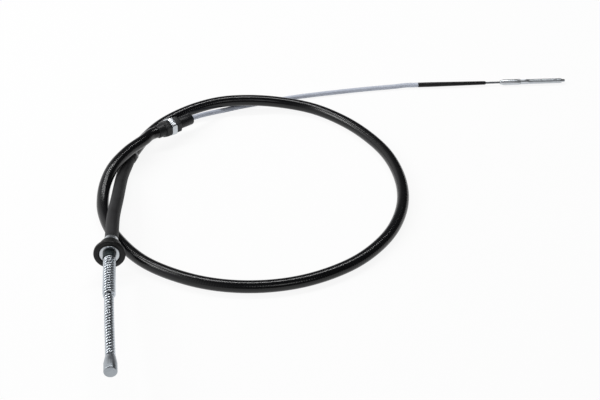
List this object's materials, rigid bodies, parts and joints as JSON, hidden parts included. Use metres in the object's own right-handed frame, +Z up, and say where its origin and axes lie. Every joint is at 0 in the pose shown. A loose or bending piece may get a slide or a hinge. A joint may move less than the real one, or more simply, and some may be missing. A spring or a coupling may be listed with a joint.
{
  "type": "parking brake cable",
  "caption": "Coiled parking brake cable: nipple with return spring and rubber grommet, sleeved black casing, threaded fitting, guide tube and threaded stud.",
  "frame": {"origin": "centre of the bounding box at table height", "axes": "+Z up from the table, +X towards the threaded stud, -Y towards the end nipple and the viewer"},
  "size_m": [0.4838, 0.4895, 0.044],
  "materials": {
    "zinc_steel": "bright zinc plating",
    "cast_nipple": "matte grey plating",
    "spring_steel": "bright drawn wire",
    "wire_steel": "stranded",
    "jacket_plastic": "satin black with fine spiral ribs",
    "grommet_rubber": "satin black",
    "sleeve_rubber": "matte dark grey",
    "black_plastic": "matte black",
    "grey_plastic": "matte light grey",
    "liner_plastic": "smooth, natural white",
    "tube_plastic": "smooth, pale lavender"
  },
  "bodies": {
    "casing": {"outer_casing": "jacket_plastic", "casing_liner": "liner_plastic", "cable_wire": "wire_steel", "guide_tube": "tube_plastic", "front_sleeve": "sleeve_rubber", "sleeve_end_ring": "black_plastic", "grey_band": "grey_plastic", "spring_ferrule": "zinc_steel", "grommet": "grommet_rubber", "spring_seat": "black_plastic", "return_spring": "spring_steel", "fitting_body": "black_plastic", "hex_nut": "zinc_steel", "lock_collar": "black_plastic", "tube_socket": "black_plastic", "tube_seal": "grommet_rubber"},
    "lever_end": {"lever_wire": "wire_steel", "crimp_sleeve": "zinc_steel", "threaded_stud": "zinc_steel"},
    "brake_end": {"brake_wire": "wire_steel", "end_nipple": "cast_nipple"}
  },
  "joints": [
    {"name": "lever_pull", "type": "slide", "parent": "casing", "child": "lever_end", "axis": [0.9983, 0.0576, 0], "range_m": [0, 0.024]},
    {"name": "brake_pull", "type": "slide", "parent": "casing", "child": "brake_end", "axis": [-0.1304, 0.9872, -0.0922], "range_m": [0, 0.024], "deforming": ["return_spring"]}
  ],
  "couplings": [
    {"joint": "lever_pull", "follows": "brake_pull", "ratio": 1}
  ]
}
